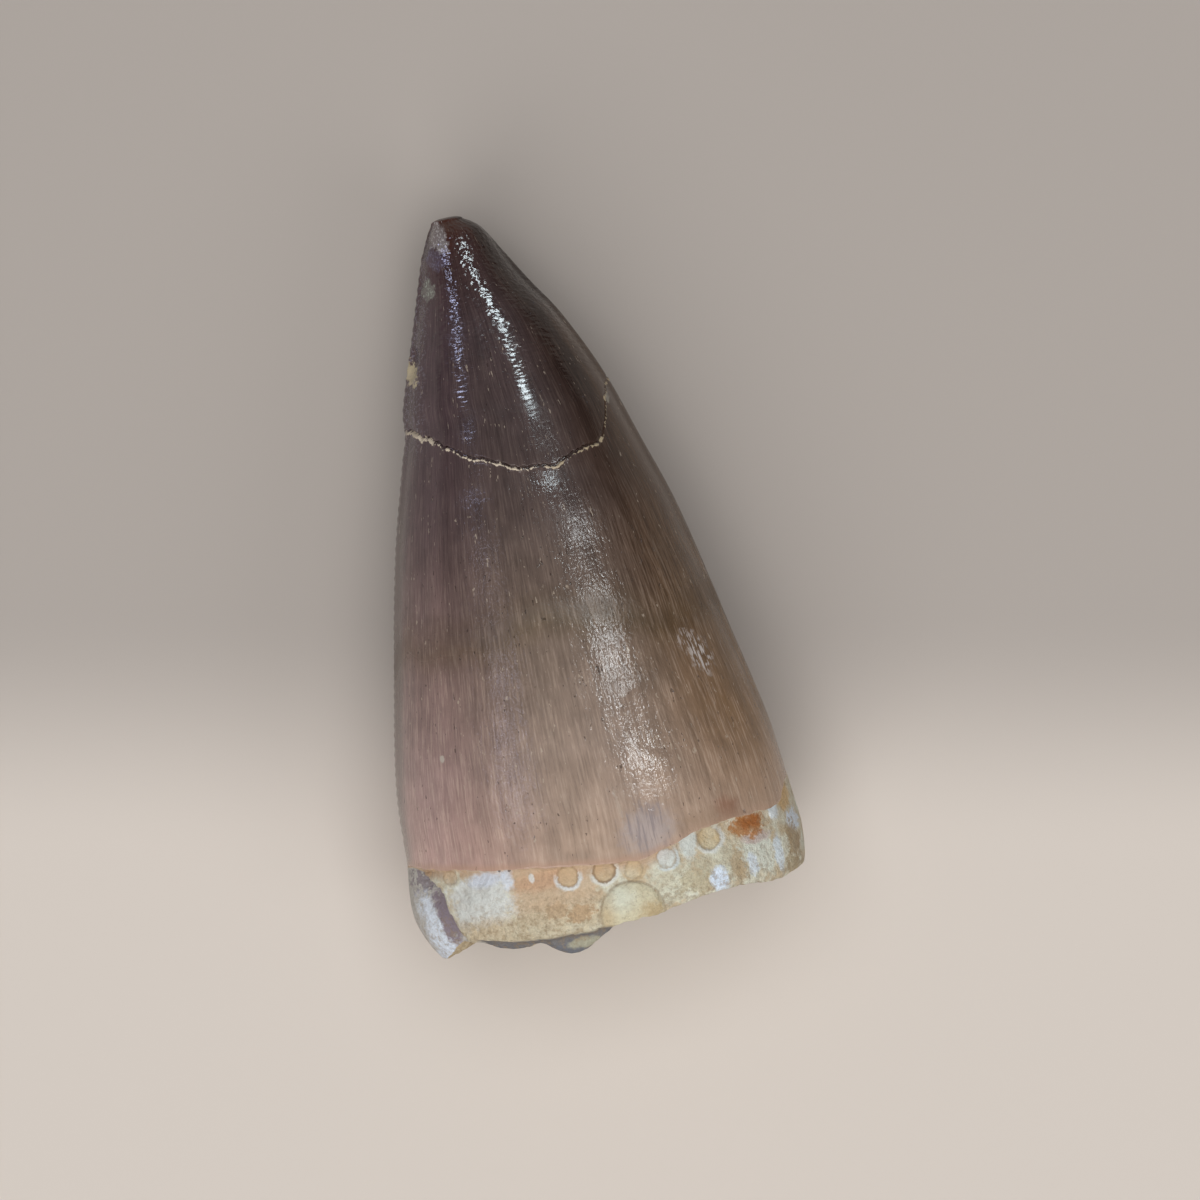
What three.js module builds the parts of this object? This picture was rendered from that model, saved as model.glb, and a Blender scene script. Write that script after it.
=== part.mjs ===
import * as THREE from 'three';
import { LoftGeometry } from 'three/addons/geometries/LoftGeometry.js';

// A fossil mosasaur tooth that lies on its back, in millimetres.
// +Y runs from the broken root end to the tip. +Z is up, out of the face that shows best.
// A station is a distance from the tip, down the tooth. An angle goes round the tooth in degrees:
// 0 is the right edge, 90 the middle of the front, 180 the left edge, 270 the middle of the back.

// Overall size
const toothLength = 62.14;
const tipY = toothLength / 2;

// Side outlines: [station, distance of the left or right edge from the long axis]
const tipCapDepth = 0.35;
const leftEdge = [
  [0.35, 3.3], [1.2, 3.9], [2.4, 4.45], [4.7, 5.28], [9.4, 6.87], [13, 8.15], [15.4, 8.9],
  [17.4, 9.12], [19.2, 9.72], [27.1, 12.03], [38.5, 14.54], [44.6, 15.72], [48, 16.12],
  [52, 16.26], [54.6, 16.58], [56.4, 16.62], [57.8, 16.3], [59.4, 15.6], [60.6, 14.85], [62.4, 14],
];
const rightEdge = [
  [0.35, -0.55], [0.8, 0.2], [1.5, 0.9], [3.7, 2.18], [6.6, 3.86], [9.6, 5.74], [15.2, 8.27],
  [21, 10.1], [27.5, 12.03], [38.2, 14.19], [46, 15.7], [50, 16.12], [53.5, 16.45],
  [55.4, 16.6], [57.8, 16.39], [59.2, 16], [62.4, 15.4],
];

// Side profile: [station, height above the table] of the front, the two edges and the back
const frontHeight = [
  [0.35, 9.7], [1.5, 11], [3.5, 12.3], [7, 14.1], [12, 16.2], [18, 18.2], [25, 20.3],
  [32, 22.1], [40, 23.7], [47, 24.7], [53, 25.2], [58, 25.1], [62.4, 24.6],
];
const edgeHeight = [[0.35, 8.4], [12, 9.6], [25, 10.6], [40, 11.4], [55, 11.9], [62.4, 12]];
const backHeight = [
  [0.35, 7.1], [1.5, 6.3], [3.5, 5.7], [8, 4.6], [14, 3.2], [20, 1.9], [26, 0.7],
  [32, -0.15], [40, -0.65], [47, -0.6], [52, -0.15], [56, 0.9], [62.4, 3],
];

// Lines that run round the tooth: [angle, station]
const crackLine = [
  [0, 15.9], [21, 17.1], [34, 19], [44, 20.8], [58, 21.2], [72, 21.95], [84, 22], [100, 21.1],
  [127, 19.05], [144, 17.9], [180, 17.2], [215, 17.9], [250, 19.1], [285, 18.5], [325, 16.6], [360, 15.9],
];
const enamelLine = [
  [0, 51], [13, 51.8], [23, 53.3], [40, 53.8], [57, 54], [68, 54.8], [80, 55.5], [92, 55.25],
  [118, 54.2], [145, 53.1], [168, 52.3], [190, 52.4], [225, 53.6], [260, 54], [300, 53.2], [335, 51.6], [360, 51],
];
const rootRim = [
  [0, 58.6], [15, 59.2], [30, 59.7], [46, 59.5], [59, 59.6], [68, 59.9], [77, 60.35], [92, 60.55],
  [98, 61.1], [103, 61.7], [108.5, 62.1], [113.5, 62], [117, 61.4], [119.5, 60.9], [122.5, 60.75],
  [127, 60.85], [134, 60.75], [138.5, 60.45], [143, 59.9], [148, 59.55], [156, 59.45], [163, 60],
  [172, 60.5], [180, 60.2], [192, 58.9], [210, 57.4], [230, 56.7], [252, 57.9], [268, 58.5],
  [288, 57.2], [308, 56.5], [330, 57.3], [360, 58.6],
];

// Outer plate of the root band. It has broken away over the spur at the left and over the lip
// below the front, and elsewhere it reaches past the rim.
const plateStep = 1.1;
const plateEdge = [
  [0, 58.9], [30, 60], [46, 59.8], [68, 60.2], [77, 60.7], [90, 60.8], [96, 60.4], [102, 60.6],
  [108, 60.5], [116, 60.4], [123, 60.25], [129, 60.1], [134, 59.8], [140, 59.35], [143.5, 59.1],
  [145.5, 55.2], [149, 54.4], [154, 53.8], [160, 53], [168, 52.4], [186, 52.8], [198, 56],
  [210, 57.2], [252, 57.6], [308, 56.2], [330, 57.2], [360, 58.9],
];

// Small relief
const enamelStep = 0.28;
const crackDepth = 0.45;
const crackBead = 0.16;
const carinaHeight = 0.4;
const carinaHalfWidth = 7;
const carinaEnds = { starts: 1, full: 6, fades: 40, gone: 53 };
const fluteDepth = 0.16;
const dome = { angle: 86, station: 59.8, radius: 2.7, height: 0.55 };
const frontDents = [
  { angle: 63, station: 44.5, radius: 3.2, height: -0.14 },
  { angle: 168, station: 11.5, radius: 1.3, height: -0.35 },
  { angle: 167, station: 1.6, radius: 1.4, height: -0.4 },
];

// Broken root end: the wall takes up a share of the way in, then a ledge drops to the matrix
// that fills the pulp cavity and swells a little in its middle.
const endCentre = new THREE.Vector3(0.2, tipY - 58, 12.3);
const endWallShare = 0.3;
const endLedge = 1.1;
const matrixSwell = 1.3;
const endRoughness = 0.3;

// Facets
const frontColumns = 46;
const backColumns = 26;
const tipCapAngles = [22, 50, 76, 90];
const ringsAboveCrack = 13;
const ringsBelowCrack = 21;
const ringsOnRoot = 13;
const crackOffsets = [-0.6, -0.22, 0.1, 0.5];
const endShares = [0.05, 0.14, 0.23, 0.3, 0.36, 0.48, 0.64, 0.8, 0.93];

// A smooth curve through points [station, value], with the slope of the neighbours at each one.
function curveThrough(points) {
  const last = points.length - 1;
  const slopes = points.map((point, i) => {
    const before = points[Math.max(i - 1, 0)];
    const after = points[Math.min(i + 1, last)];
    return (after[1] - before[1]) / (after[0] - before[0]);
  });
  return (station) => {
    let i = 0;
    while (i < last - 1 && station > points[i + 1][0]) i += 1;
    const span = points[i + 1][0] - points[i][0];
    const u = THREE.MathUtils.clamp((station - points[i][0]) / span, 0, 1);
    const blend = u * u * (3 - 2 * u);
    const startPull = span * slopes[i] * u * (1 - u) * (1 - u);
    const endPull = span * slopes[i + 1] * u * u * (u - 1);
    return points[i][1] * (1 - blend) + points[i + 1][1] * blend + startPull + endPull;
  };
}

// The same for a line that closes on itself after 360 degrees.
function ringThrough(points) {
  const count = points.length;
  const before = [points[count - 2][0] - 360, points[count - 2][1]];
  const after = [points[1][0] + 360, points[1][1]];
  const curve = curveThrough([before, ...points, after]);
  return (angle) => curve(((angle % 360) + 360) % 360);
}

const leftAt = curveThrough(leftEdge);
const rightAt = curveThrough(rightEdge);
const frontAt = curveThrough(frontHeight);
const edgeAt = curveThrough(edgeHeight);
const backAt = curveThrough(backHeight);
const crackAt = ringThrough(crackLine);
const enamelAt = ringThrough(enamelLine);
const rimAt = ringThrough(rootRim);
const plateAt = ringThrough(plateEdge);

const radians = THREE.MathUtils.degToRad;
const fade = THREE.MathUtils.smoothstep;

// Degrees from one angle to the other, the short way round.
function turnBetween(a, b) {
  return Math.abs(((a - b + 540) % 360) - 180);
}

function bell(distance, halfWidth) {
  return Math.exp(-((distance / halfWidth) ** 2));
}

// The crack is open on the front, faint where it turns up at the right, and shallow behind.
function crackStrength(angle) {
  const front = fade(angle, 40, 54) * (1 - fade(angle, 168, 184));
  return 0.25 + 0.75 * front;
}

// Two broad, shallow valleys run down the front from the tip and fade half way.
function flutes(station, angle) {
  const valleys = bell(turnBetween(angle, 92), 11) + 0.7 * bell(turnBetween(angle, 142), 10);
  return -fluteDepth * valleys * fade(station, 0.5, 5) * (1 - fade(station, 16, 40));
}

function growthBands(station, angle) {
  return 0.05 * Math.sin(station * 0.78 + 0.35 * Math.sin(radians(angle * 2)));
}

function rootLumps(station, angle) {
  const across = Math.sin(radians(angle * 7 + station * 31)) + Math.sin(radians(angle * 13 - station * 47));
  return 0.09 * across;
}

function roundSpot(spot, station, angle, halfWidth) {
  const across = radians(turnBetween(angle, spot.angle)) * halfWidth;
  const reach = Math.hypot(across, station - spot.station) / spot.radius;
  return spot.height * Math.sqrt(Math.max(0, 1 - reach * reach));
}

// Height of the small forms above the smooth oval, in millimetres along its normal.
function reliefAt(station, angle, halfWidth) {
  const edge = Math.abs(Math.cos(radians(angle))) ** 14;
  const fromCrack = station - crackAt(angle);
  const groove = -crackDepth * bell(fromCrack + 0.22, 0.3) + crackBead * bell(fromCrack - 0.15, 0.25);
  const crown = 1 - fade(station, enamelAt(angle) - 0.1, enamelAt(angle) + 0.35);
  const belowPlate = fade(station, plateAt(angle) - 0.1, plateAt(angle) + 0.45);
  const root = (1 - crown) * (rootLumps(station, angle) - enamelStep) - belowPlate * plateStep;
  const dents = frontDents.reduce((sum, dent) => sum + roundSpot(dent, station, angle, halfWidth), 0);
  const swelling = roundSpot(dome, station, angle, halfWidth);
  const onCrown = crown * (flutes(station, angle) + growthBands(station, angle));
  return groove * crackStrength(angle) + (1 - edge) * (root + onCrown + swelling) + dents;
}

function carinaAt(station) {
  const { starts, full, fades, gone } = carinaEnds;
  return carinaHeight * fade(station, starts, full) * (1 - fade(station, fades, gone));
}

// A point of the outside. The section is an oval with a low ridge, the carina, along each edge.
function outsidePoint(station, angle, widen = 1) {
  const turn = radians(angle);
  const middle = (rightAt(station) - leftAt(station)) / 2;
  const halfWidth = (rightAt(station) + leftAt(station)) / 2;
  const level = edgeAt(station);
  const depth = Math.sin(turn) > 0 ? frontAt(station) - level : level - backAt(station);
  const carina = carinaAt(station);
  const fromEdge = Math.min(turnBetween(angle, 0), turnBetween(angle, 180));
  const oval = halfWidth - carina + carina * bell(fromEdge, carinaHalfWidth);
  const normal = new THREE.Vector2(Math.cos(turn) / oval, Math.sin(turn) / depth).normalize();
  const relief = widen < 1 ? 0 : reliefAt(station, angle, oval);
  const x = middle + widen * oval * Math.cos(turn) + relief * normal.x;
  const z = level + widen * depth * Math.sin(turn) + relief * normal.y;
  return new THREE.Vector3(x, tipY - station, Math.max(z, 0));
}

// The rounded tip: rings of a flat dome, from near its pole to its rim.
function tipRing(slope, angles) {
  const rise = tipCapDepth * Math.cos(radians(slope));
  return angles.map((angle) => {
    const point = outsidePoint(tipCapDepth, angle, Math.sin(radians(slope)));
    point.y += rise;
    return point;
  });
}

function outsideRing(stationAt, angles) {
  return angles.map((angle) => outsidePoint(stationAt(angle), angle));
}

// Rings shared out between two lines that run round the tooth, without the lines themselves.
function ringsBetween(startAt, endAt, count, angles, ease = 1) {
  const rings = [];
  for (let i = 1; i < count; i += 1) {
    const share = (i / count) ** ease;
    rings.push(outsideRing((angle) => startAt(angle) * (1 - share) + endAt(angle) * share, angles));
  }
  return rings;
}

// The broken end: the wall slopes in from the rim, then a ledge drops to rough matrix.
function endRing(share, angles) {
  const slope = fade(share, 0, endWallShare + 0.1);
  const ledge = endLedge * fade(share, endWallShare, endWallShare + 0.07);
  const swell = matrixSwell * fade(share, endWallShare + 0.1, 1);
  return angles.map((angle) => {
    const rim = outsidePoint(rimAt(angle), angle);
    const point = rim.clone().lerp(endCentre, share);
    const lumps = Math.sin(radians(angle * 5 + share * 540)) + Math.sin(radians(angle * 9 - share * 700));
    point.y = THREE.MathUtils.lerp(rim.y, endCentre.y, slope) + ledge - swell;
    point.y += endRoughness * lumps * slope * (1 - share);
    return point;
  });
}

// The columns stand closer on the front than on the back.
function columnAngles() {
  const front = Array.from({ length: frontColumns }, (item, i) => (180 * i) / frontColumns);
  const back = Array.from({ length: backColumns }, (item, i) => 180 + (180 * i) / backColumns);
  return [...front, ...back];
}

function buildTooth() {
  const angles = columnAngles();
  const tipLine = () => tipCapDepth;
  const aboveCrack = (angle) => crackAt(angle) + crackOffsets[0];
  const belowCrack = (angle) => crackAt(angle) + crackOffsets[crackOffsets.length - 1];
  const enamelEnd = (angle) => enamelAt(angle) - 0.15;
  const rootStart = (angle) => enamelAt(angle) + 0.35;
  const sections = [
    ...tipCapAngles.map((slope) => tipRing(slope, angles)),
    ...ringsBetween(tipLine, aboveCrack, ringsAboveCrack, angles, 1.35),
    ...crackOffsets.map((offset) => outsideRing((angle) => crackAt(angle) + offset, angles)),
    ...ringsBetween(belowCrack, enamelEnd, ringsBelowCrack, angles),
    outsideRing(enamelEnd, angles),
    outsideRing(rootStart, angles),
    ...ringsBetween(rootStart, rimAt, ringsOnRoot, angles),
    outsideRing(rimAt, angles),
    ...endShares.map((share) => endRing(share, angles)),
  ];
  const enamel = new THREE.MeshStandardMaterial({ color: 0x6f5647, roughness: 0.34, metalness: 0 });
  const tooth = new THREE.Mesh(new LoftGeometry(sections, { capStart: true, capEnd: true }), enamel);
  tooth.name = 'tooth';
  return tooth;
}

const fossil = new THREE.Group();
fossil.add(buildTooth());

export default fossil;
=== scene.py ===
import math
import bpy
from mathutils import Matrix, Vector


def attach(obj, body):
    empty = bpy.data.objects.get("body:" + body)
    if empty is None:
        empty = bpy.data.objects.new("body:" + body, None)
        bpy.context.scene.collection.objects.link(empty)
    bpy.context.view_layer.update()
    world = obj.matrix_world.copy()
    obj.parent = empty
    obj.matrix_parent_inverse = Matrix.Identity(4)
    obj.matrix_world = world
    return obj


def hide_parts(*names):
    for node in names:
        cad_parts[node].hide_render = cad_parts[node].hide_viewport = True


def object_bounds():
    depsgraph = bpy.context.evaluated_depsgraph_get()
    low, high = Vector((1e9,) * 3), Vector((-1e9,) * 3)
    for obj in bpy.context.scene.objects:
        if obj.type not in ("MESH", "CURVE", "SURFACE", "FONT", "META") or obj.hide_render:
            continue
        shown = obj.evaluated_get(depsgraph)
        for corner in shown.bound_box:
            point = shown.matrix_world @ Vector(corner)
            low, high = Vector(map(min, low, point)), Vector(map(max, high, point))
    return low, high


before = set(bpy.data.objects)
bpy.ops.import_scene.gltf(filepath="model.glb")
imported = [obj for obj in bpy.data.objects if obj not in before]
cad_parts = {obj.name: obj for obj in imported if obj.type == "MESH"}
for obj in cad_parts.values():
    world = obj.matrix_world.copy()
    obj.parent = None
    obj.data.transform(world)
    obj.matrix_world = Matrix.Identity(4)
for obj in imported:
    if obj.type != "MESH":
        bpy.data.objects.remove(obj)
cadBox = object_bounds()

from types import SimpleNamespace

import bpy
import numpy as np
from mathutils import Matrix, Vector

# Fossil mosasaur tooth lying on its back: +Y to the tip, +Z out of the face that shows.
# A station is a distance from the tip in millimetres. An angle goes round the tooth in degrees:
# 0 right edge, 90 middle of the front, 180 left edge, 270 middle of the back.

mm = 0.001

# What the tooth is shaped by, in millimetres and degrees, as in the solid. Ends are given as
# starts, full, fades, gone.
toothForm = {
    "tipY": 31.07,
    "tipCapDepth": 0.35,
    "leftEdge": [
        (0.35, 3.3), (1.2, 3.9), (2.4, 4.45), (4.7, 5.28), (9.4, 6.87), (13, 8.15), (15.4, 8.9),
        (17.4, 9.12), (19.2, 9.72), (27.1, 12.03), (38.5, 14.54), (44.6, 15.72), (48, 16.12),
        (52, 16.26), (54.6, 16.58), (56.4, 16.62), (57.8, 16.3), (59.4, 15.6), (60.6, 14.85), (62.4, 14),
    ],
    "rightEdge": [
        (0.35, -0.55), (0.8, 0.2), (1.5, 0.9), (3.7, 2.18), (6.6, 3.86), (9.6, 5.74), (15.2, 8.27),
        (21, 10.1), (27.5, 12.03), (38.2, 14.19), (46, 15.7), (50, 16.12), (53.5, 16.45),
        (55.4, 16.6), (57.8, 16.39), (59.2, 16), (62.4, 15.4),
    ],
    "frontHeight": [
        (0.35, 9.7), (1.5, 11), (3.5, 12.3), (7, 14.1), (12, 16.2), (18, 18.2), (25, 20.3),
        (32, 22.1), (40, 23.7), (47, 24.7), (53, 25.2), (58, 25.1), (62.4, 24.6),
    ],
    "edgeHeight": [(0.35, 8.4), (12, 9.6), (25, 10.6), (40, 11.4), (55, 11.9), (62.4, 12)],
    "backHeight": [
        (0.35, 7.1), (1.5, 6.3), (3.5, 5.7), (8, 4.6), (14, 3.2), (20, 1.9), (26, 0.7),
        (32, -0.15), (40, -0.65), (47, -0.6), (52, -0.15), (56, 0.9), (62.4, 3),
    ],
    "crackLine": [
        (0, 15.9), (21, 17.1), (34, 19), (44, 20.8), (58, 21.2), (72, 21.95), (84, 22), (100, 21.1),
        (127, 19.05), (144, 17.9), (180, 17.2), (215, 17.9), (250, 19.1), (285, 18.5), (325, 16.6),
        (360, 15.9),
    ],
    "enamelLine": [
        (0, 51), (13, 51.8), (23, 53.3), (40, 53.8), (57, 54), (68, 54.8), (80, 55.5), (92, 55.25),
        (118, 54.2), (145, 53.1), (168, 52.3), (190, 52.4), (225, 53.6), (260, 54), (300, 53.2),
        (335, 51.6), (360, 51),
    ],
    "rootRim": [
        (0, 58.6), (15, 59.2), (30, 59.7), (46, 59.5), (59, 59.6), (68, 59.9), (77, 60.35), (92, 60.55),
        (98, 61.1), (103, 61.7), (108.5, 62.1), (113.5, 62), (117, 61.4), (119.5, 60.9), (122.5, 60.75),
        (127, 60.85), (134, 60.75), (138.5, 60.45), (143, 59.9), (148, 59.55), (156, 59.45), (163, 60),
        (172, 60.5), (180, 60.2), (192, 58.9), (210, 57.4), (230, 56.7), (252, 57.9), (268, 58.5),
        (288, 57.2), (308, 56.5), (330, 57.3), (360, 58.6),
    ],
    "plateEdge": [
        (0, 58.9), (30, 60), (46, 59.8), (68, 60.2), (77, 60.7), (90, 60.8), (96, 60.4), (102, 60.6),
        (108, 60.5), (116, 60.4), (123, 60.25), (129, 60.1), (134, 59.8), (140, 59.35), (143.5, 59.1),
        (145.5, 55.2), (149, 54.4), (154, 53.8), (160, 53), (168, 52.4), (186, 52.8), (198, 56),
        (210, 57.2), (252, 57.6), (308, 56.2), (330, 57.2), (360, 58.9),
    ],
    "plateStep": 1.1,
    "enamelStep": 0.28,
    "carinaHeight": 0.4,
    "carinaHalfWidth": 7,
    "carinaEnds": (1, 6, 40, 53),
    "fluteDepth": 0.16,
    "flutes": [(92, 11, 1), (142, 10, 0.7)],  # angle, half width, share of the depth
    "fluteEnds": (1, 12, 16, 40),  # they start later than the solid's
    "dome": (86, 59.8, 2.7, 0.55),  # angle, station, radius, height
    "frontDents": [(63, 44.5, 3.2, -0.14), (168, 11.5, 1.3, -0.35), (167, 1.6, 1.4, -0.4)],
    "endCentre": (0.2, 58, 12.3),  # across, station, height
    "endWallShare": 0.3,
    "endLedge": 1.1,
    "matrixSwell": 1.3,
    "endRoughness": 0.3,
}

# How fine the surface is: columns round the tooth and rows along it
toothGrid = {
    "frontColumns": 196,
    "backColumns": 84,
    "tipCapRows": 9,
    "rows": (84, 16, 128, 7, 62),  # to the crack, over it, to the enamel's end, over it, root band
    "crackReach": 0.6,
    "enamelReach": (0.2, 0.4),
    "endRows": 40,
    "towardsTip": 1.15,  # powers that draw rows together near the tip and near the rim
    "towardsRim": 1.15,
}

# Fine relief, and small shifts of the solid's lines, in millimetres. The slide and the crack's
# ends are in degrees, and the ripples' stretch is a share.
fineRelief = {
    "lineWander": 0.15,
    "enamelWander": 0.1,
    "rimWander": 0.12,
    "crackLift": 0.5,
    "plateSlide": 2.4,
    "crackDepth": 0.26,
    "crackHalfWidth": 0.09,
    "crackEnds": (40, 54, 168, 184),
    "beadHeight": 0.16,
    "beadHalfWidth": 0.14,
    "beadOffset": 0.19,
    "ripple": 0.02,
    "rippleCell": 0.8,
    "rippleStretch": 0.13,
    "growth": 0.03,
    "growthWave": 0.05,
    "edgeChips": 0.09,
    "serration": 0.07,
    "serrationSpacing": 0.8,
    "rootGrain": 0.06,
    "rootLumps": 0.09,
    "spurPits": 0.3,
    "domeGroove": 0.06,
    "endGrain": 0.2,
}


# A small round shell: its place and radius, how high its rim and its disc stand, all in mm, the
# colours of both, the side where the rim shows most, and the strength of the line between them.
# The rim's colour is a painted highlight, shown most on the side where the wall catches the light.
def shell(at, radius, rim, disc, discTone=None, litRimTone=None, side=None, line=0):
    return {
        "at": at, "radius": radius, "rim": rim, "disc": disc,
        "discTone": discTone, "litRimTone": litRimTone, "side": side, "line": line,
    }


# Small round shells grown over on the root band. The last has no colours of its own.
rootShells = [
    shell((-12.89, -22.85), 0.72, 0.04, -0.05, (184, 156, 122), (198, 186, 160), (0.7, -0.7, 0), 0.35),
    shell((-3.35, -24.68), 1.1, 0.09, -0.05, (194, 166, 126), (214, 212, 206), (0, -1, 0), 0.45),
    shell((-0.34, -24.84), 1.16, 0.09, -0.07, (186, 150, 108), (210, 204, 192), (0.2, -1, 0), 0.75),
    shell((2.11, -25.22), 0.95, 0, 0.07, (194, 162, 116), (186, 158, 120), (0, -1, 0), 0.3),
    shell((4.97, -24.88), 1, 0.08, 0.05, (206, 210, 208), (198, 200, 196), (0.6, -0.8, 0), 0.35),
    shell((8.73, -24.01), 1.18, 0.09, -0.06, (196, 168, 122), (212, 208, 198), (0.6, -0.8, 0), 0.35),
    shell((14.4, -22.94), 0.55, 0, 0.2),
]
domePlace = {"at": (1.32, -28.78), "radius": 2.67}


# Smooth curve through (station, value) points: a cubic between each pair, with the slope of the
# chord between its neighbours at each point.
def curveThrough(points, at):
    xs, ys = np.array(points, float).T
    index = np.arange(len(xs))
    before = np.maximum(index - 1, 0)
    after = np.minimum(index + 1, len(xs) - 1)
    slopes = (ys[after] - ys[before]) / (xs[after] - xs[before])
    i = np.clip(np.searchsorted(xs, at, side="left") - 1, 0, len(xs) - 2)
    span = xs[i + 1] - xs[i]
    u = np.clip((at - xs[i]) / span, 0, 1)
    blend = u * u * (3 - 2 * u)
    pull = span * u * (1 - u) * (slopes[i] * (1 - u) - slopes[i + 1] * u)
    return ys[i] * (1 - blend) + ys[i + 1] * blend + pull


# The same for a line that closes on itself after 360 degrees.
def ringThrough(points, angle):
    before = (points[-2][0] - 360, points[-2][1])
    after = (points[1][0] + 360, points[1][1])
    return curveThrough([before, *points, after], np.mod(angle, 360))


# Smoothstep: 0 below low, 1 above high, 3u^2 - 2u^3 between.
def fade(value, low, high):
    u = np.clip((value - low) / (high - low), 0, 1)
    return u * u * (3 - 2 * u)


# Rises from starts to full and falls from fades to gone.
def between(value, starts, full, fades, gone):
    return fade(value, starts, full) * (1 - fade(value, fades, gone))


# Bell curve: exp(-(distance / halfWidth)^2).
def bell(distance, halfWidth):
    return np.exp(-((distance / halfWidth) ** 2))


# Degrees between two angles, the short way round.
def turnBetween(a, b):
    return np.abs(np.mod(a - b + 180, 360) - 180)


# Bell curve round an angle.
def near(angle, middle, halfWidth):
    return bell(turnBetween(angle, middle), halfWidth)


# Sine and cosine of degrees.
def sine(angle):
    return np.sin(np.radians(angle))


def cosine(angle):
    return np.cos(np.radians(angle))


# Value noise from -1 to 1: random numbers on a lattice, blended by smoothstep between the eight
# corners round each point. The lattice repeats after 48 cells.
def softNoise(points, cell, seed):
    size = 48
    lattice = np.random.default_rng(seed).uniform(-1, 1, (size, size, size))
    scaled = points / cell
    corner = np.floor(scaled).astype(int)
    part = scaled - corner
    part = part * part * (3 - 2 * part)
    total = np.zeros(points.shape[:-1])
    for step in np.ndindex(2, 2, 2):
        weight = np.prod(np.where(step, part, 1 - part), axis=-1)
        i, j, k = np.moveaxis((corner + step) % size, -1, 0)
        total += weight * lattice[i, j, k]
    return total


# Two sizes of value noise on top of each other, the smaller at half the height.
def roughNoise(points, cell, seed):
    return softNoise(points, cell, seed) + 0.5 * softNoise(points, cell * 0.47, seed + 1)


# A point on a cylinder of 16 mm radius for each place on the tooth: noise on it follows the
# lines of growth, and it has no seam.
def grainCoords(station, angle):
    turn = angle + 0 * station
    return np.stack([16 * cosine(turn), 16 * sine(turn), station + 0 * turn], -1)


# The lines round the tooth as stations for each angle: the solid's line plus a fine wander.
def lineStations(angle):
    form, relief = toothForm, fineRelief
    around = grainCoords(0 * angle, angle)
    crack = softNoise(around, 1.3, 11) + 0.8 * softNoise(around, 0.4, 12)
    lift = relief["crackLift"] * near(angle, 180, 26)
    slid = angle - relief["plateSlide"] * near(angle, 146, 6)
    grains = ((0.8, 13), (0.9, 14), (0.6, 15))  # size, seed
    enamel, rim, plate = [roughNoise(around, *grain) for grain in grains]
    return {
        "crack": ringThrough(form["crackLine"], angle) - lift + relief["lineWander"] * crack,
        "enamel": ringThrough(form["enamelLine"], angle) + relief["enamelWander"] * enamel,
        "rim": ringThrough(form["rootRim"], angle) - relief["rimWander"] * np.abs(rim),
        "plate": ringThrough(form["plateEdge"], slid) - relief["rimWander"] * np.abs(plate),
    }


# How open the crack is round the tooth, 0 to 1: open on the front, faint where it turns up at
# the right, shallow behind.
def crackStrength(angle):
    return 0.25 + 0.75 * between(angle, *fineRelief["crackEnds"])


# Cap of a sphere over a spot: height * sqrt(1 - (distance / radius)^2).
def roundSpot(station, angle, halfWidth, spot):
    middle, spotStation, radius, height = spot
    across = np.radians(turnBetween(angle, middle)) * halfWidth
    reach = np.hypot(across, station - spotStation) / radius
    return height * np.sqrt(np.clip(1 - reach * reach, 0, None))


# The crack: a narrow groove with a raised, beaded filling on its lower side.
def crackRelief(station, angle, fromCrack):
    relief = fineRelief
    beads = 0.5 + 0.7 * roughNoise(grainCoords(station * 0.4, angle), 0.7, 21)
    broken = 1 - near(angle, 126, 2.2)
    groove = -relief["crackDepth"] * bell(fromCrack, relief["crackHalfWidth"])
    bead = relief["beadHeight"] * np.clip(beads, 0, 1.2) * broken
    bead = bead * bell(fromCrack - relief["beadOffset"], relief["beadHalfWidth"])
    return (groove + bead) * crackStrength(angle)


# Broad forms of the crown: two shallow valleys, growth bands and fine lengthwise ripples.
def crownRelief(station, angle):
    relief = fineRelief
    valleys = sum(share * near(angle, at, half) for at, half, share in toothForm["flutes"])
    flutes = -toothForm["fluteDepth"] * valleys * between(station, *toothForm["fluteEnds"])
    grain = grainCoords(station, angle)
    ripples = roughNoise(grain * (1, 1, relief["rippleStretch"]), relief["rippleCell"], 31)
    ripples = relief["ripple"] * ripples * (0.04 + 0.96 * fade(station, 15, 44))
    bands = relief["growth"] * softNoise(grain * (0.1, 0.1, 1), 1.6, 32)
    growth = relief["growthWave"] * np.sin(station * 0.78 + 0.35 * sine(angle * 2))
    byLeftEdge = between(angle, 152, 164, 176, 184) * (1 - fade(station, 18, 22))
    chips = -relief["edgeChips"] * np.abs(roughNoise(grain * (1, 1, 1.6), 1.0, 33)) * byLeftEdge
    return flutes + ripples + bands + growth + chips


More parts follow.
